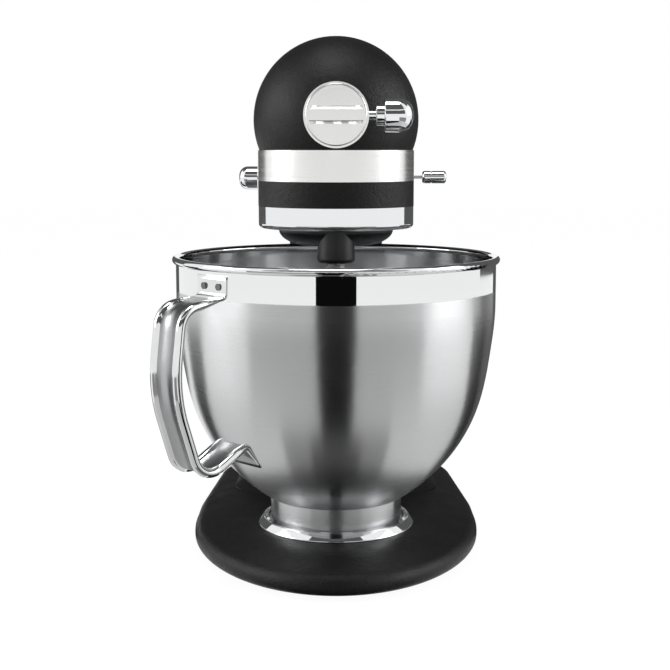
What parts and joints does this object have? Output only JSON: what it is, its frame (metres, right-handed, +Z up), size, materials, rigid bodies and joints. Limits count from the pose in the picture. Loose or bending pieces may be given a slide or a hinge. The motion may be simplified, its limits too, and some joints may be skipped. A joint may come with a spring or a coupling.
{
  "type": "stand mixer",
  "caption": "Tilt-head kitchen stand mixer with a geared planetary drive inside its head, speed and lock levers, a hub socket and a twist-in steel bowl with a strap handle.",
  "frame": {"origin": "middle of the object's bounding box, on the table under its feet", "axes": "+Z up, -Y towards the front where the hub is, +X towards the thumb knob"},
  "size_m": [0.2253, 0.3648, 0.3561],
  "materials": {
    "black_paint": "fine textured black enamel on cast metal",
    "dark_enamel": "smooth black enamel",
    "chrome": "bright plated",
    "band_metal": "satin bare metal",
    "bowl_steel": "brushed round the bowl, polished at the top",
    "steel": "machined steel",
    "bright_steel": "ground steel",
    "bronze": "bearing bronze",
    "brass_metal": "plain brass",
    "copper": "enamelled copper wire",
    "laminations": "stacked steel sheet",
    "cast_metal": "as cast",
    "carbon": "pressed carbon",
    "black_plastic": "moulded black plastic",
    "board_green": "circuit board",
    "rubber": "soft black rubber"
  },
  "bodies": {
    "stand": {"base_casting": "black_paint", "rubber_feet": "rubber", "pedestal": "black_paint", "pedestal_screws": "steel", "hinge_pin": "bright_steel", "pin_set_screw": "steel", "height_adjust_screw": "bright_steel", "lock_catch": "steel", "bowl_clamp_plate": "chrome", "clamp_plate_screws": "bright_steel"},
    "head": {"gearcase": "black_paint", "upper_housing": "black_paint", "rear_cover": "black_paint", "trim_band": "band_metal", "housing_screws": "steel", "rear_cover_screws": "steel", "cord_gland": "rubber", "drip_ring": "chrome", "ring_gear": "steel", "centre_bush": "bronze", "intermediate_bush": "bronze", "front_bracket": "cast_metal", "rear_bracket": "cast_metal", "front_bearing": "bright_steel", "rear_bearing": "bright_steel", "motor_stator": "laminations", "stator_windings": "copper", "carbon_brushes": "carbon", "brush_holders": "brass_metal", "brush_caps": "black_plastic", "speed_board": "board_green", "attachment_hub": "chrome", "hub_bush": "bronze"},
    "armature": {"motor_shaft": "bright_steel", "armature_core": "laminations", "commutator": "copper", "cooling_fan": "black_plastic"},
    "intermediate": {"intermediate_shaft": "bright_steel", "worm_wheel": "bronze"},
    "planetary": {"centre_shaft": "bright_steel", "centre_gear": "steel", "planetary_carrier": "dark_enamel", "carrier_pin": "steel"},
    "beater_drive": {"beater_shaft": "bright_steel", "beater_pinion": "steel", "beater_cross_pin": "bright_steel"},
    "hub_drive": {"hub_drive_shaft": "steel", "hub_bevel_gear": "steel"},
    "cover": {"hub_cover": "chrome"},
    "thumb_knob": {"attachment_knob": "chrome", "knob_screw": "chrome"},
    "speed_control": {"speed_lever": "steel", "speed_knob": "chrome"},
    "head_lock": {"lock_bar": "steel", "lock_knob": "chrome"},
    "bowl": {"bowl_shell": "bowl_steel", "bowl_foot": "bowl_steel", "bowl_handle": "bowl_steel", "handle_rivets": "bright_steel"}
  },
  "joints": [
    {"name": "head_tilt", "type": "hinge", "parent": "stand", "child": "head", "pos_m": [0, 0.1135, 0.225], "axis": [-1, 0, 0], "range_deg": [0, 55]},
    {"name": "armature_spin", "type": "hinge", "parent": "head", "child": "armature", "pos_m": [0, 0.0315, 0.3004], "axis": [0, 1, 0], "continuous": true},
    {"name": "worm_wheel_spin", "type": "hinge", "parent": "head", "child": "intermediate", "pos_m": [-0.0275, -0.03877, 0.3004], "axis": [0, 0, 1], "continuous": true},
    {"name": "planetary_spin", "type": "hinge", "parent": "head", "child": "planetary", "pos_m": [0, -0.0685, 0.24], "axis": [0, 0, 1], "continuous": true},
    {"name": "beater_spin", "type": "hinge", "parent": "planetary", "child": "beater_drive", "pos_m": [0, -0.0965, 0.22], "axis": [0, 0, 1], "continuous": true},
    {"name": "hub_spin", "type": "hinge", "parent": "head", "child": "hub_drive", "pos_m": [0, -0.1085, 0.3004], "axis": [0, -1, 0], "continuous": true},
    {"name": "hub_cover_pull", "type": "slide", "parent": "head", "child": "cover", "axis": [0, -1, 0], "range_m": [0, 0.05]},
    {"name": "thumb_knob_turn", "type": "hinge", "parent": "head", "child": "thumb_knob", "pos_m": [0.035, -0.1345, 0.3004], "axis": [1, 0, 0], "range_deg": [0, 720]},
    {"name": "speed_slide", "type": "slide", "parent": "head", "child": "speed_control", "axis": [0, 1, 0], "range_m": [0, 0.032]},
    {"name": "lock_slide", "type": "slide", "parent": "head", "child": "head_lock", "axis": [0, 1, 0], "range_m": [0, 0.015]},
    {"name": "bowl_twist", "type": "hinge", "parent": "stand", "child": "bowl", "pos_m": [0, -0.0685, 0.04], "axis": [0, 0, 1], "range_deg": [0, 30]}
  ],
  "couplings": [
    {"joint": "worm_wheel_spin", "follows": "armature_spin", "ratio": -0.076923},
    {"joint": "planetary_spin", "follows": "armature_spin", "ratio": 0.026923},
    {"joint": "beater_spin", "follows": "armature_spin", "ratio": -0.094231},
    {"joint": "hub_spin", "follows": "armature_spin", "ratio": 0.026923}
  ]
}
